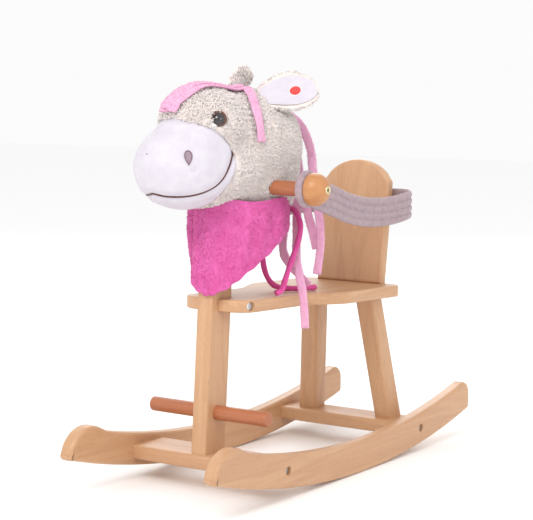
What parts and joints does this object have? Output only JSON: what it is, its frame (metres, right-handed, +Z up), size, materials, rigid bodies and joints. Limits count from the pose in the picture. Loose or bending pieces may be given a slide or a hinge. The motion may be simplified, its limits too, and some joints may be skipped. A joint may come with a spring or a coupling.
{
  "type": "toddler rocking horse",
  "caption": "Wooden rocking horse with a stuffed plush head, seat with backrest, handle dowel with knobs, footrest dowel and a swinging safety strap",
  "frame": {"origin": "on the floor under the middle of the bounding box; the rockers touch the floor 23 mm behind it", "axes": "+Z up, the horse faces -Y, +X is the horse's left side"},
  "size_m": [0.3332, 0.7437, 0.6139],
  "materials": {
    "beech": "satin clear lacquer",
    "dowel_wood": "satin clear lacquer",
    "knob_wood": "satin clear lacquer",
    "steel": "plain",
    "ferrule": "pale plated",
    "stuffing": "polyester fibre",
    "plush": "short curled pile",
    "velour": "short brushed pile",
    "nostril_felt": "felt",
    "thread": "embroidery thread",
    "eye_plastic": "high gloss",
    "white_plastic": "plain",
    "grey_plastic": "plain",
    "button_print": "printed cloth",
    "mane_fleece": "brushed fleece",
    "scarf_cloth": "brushed cotton",
    "tie_cloth": "stuffed tube",
    "strap_cloth": "ribbed padded cloth",
    "cell_wrap": "plain",
    "board_green": "plain"
  },
  "bodies": {
    "horse": {"rocker_left": "beech", "rocker_right": "beech", "front_crossbar": "beech", "rear_crossbar": "beech", "front_post": "beech", "seat_board": "beech", "head_block": "beech", "head_block_screws": "steel", "backrest": "beech", "rear_leg_left": "beech", "rear_leg_right": "beech", "footrest_dowel": "dowel_wood", "handle_dowel": "dowel_wood", "handle_knob_left": "knob_wood", "handle_knob_right": "knob_wood", "knob_ferrules": "ferrule", "knob_screws": "steel", "rocker_bolts": "steel", "rocker_barrel_nuts": "steel", "seat_cross_bolt": "steel", "seat_cross_nut": "steel", "post_foot_screws": "steel", "leg_foot_screws": "steel", "leg_top_dowels": "dowel_wood", "backrest_screws": "steel", "head_stuffing": "stuffing", "head_fur_cover": "plush", "muzzle_cover": "velour", "nostrils": "nostril_felt", "mouth_stitching": "thread", "eyes": "eye_plastic", "eye_washers": "white_plastic", "ear_left": "plush", "ear_right": "plush", "ear_lining_left": "velour", "ear_lining_right": "velour", "ear_switch_base": "grey_plastic", "forelock": "mane_fleece", "temple_strips": "mane_fleece", "mane_strips": "mane_fleece", "scarf": "scarf_cloth", "scarf_knot": "scarf_cloth", "scarf_tie_a": "tie_cloth", "scarf_tie_b": "tie_cloth", "sound_box": "white_plastic", "sound_box_lid": "white_plastic", "speaker": "grey_plastic", "batteries": "cell_wrap", "circuit_board": "board_green"},
    "strap": {"safety_strap": "strap_cloth"},
    "button": {"ear_button": "button_print"}
  },
  "joints": [
    {"name": "strap_swing", "type": "hinge", "parent": "horse", "child": "strap", "pos_m": [0, -0.133, 0.447], "axis": [1, 0, 0], "range_deg": [0, 45]},
    {"name": "ear_press", "type": "slide", "parent": "horse", "child": "button", "axis": [-0.289, 0.4635, -0.8376], "range_m": [0, 0.0015], "stiffness_N_per_m": 300}
  ]
}
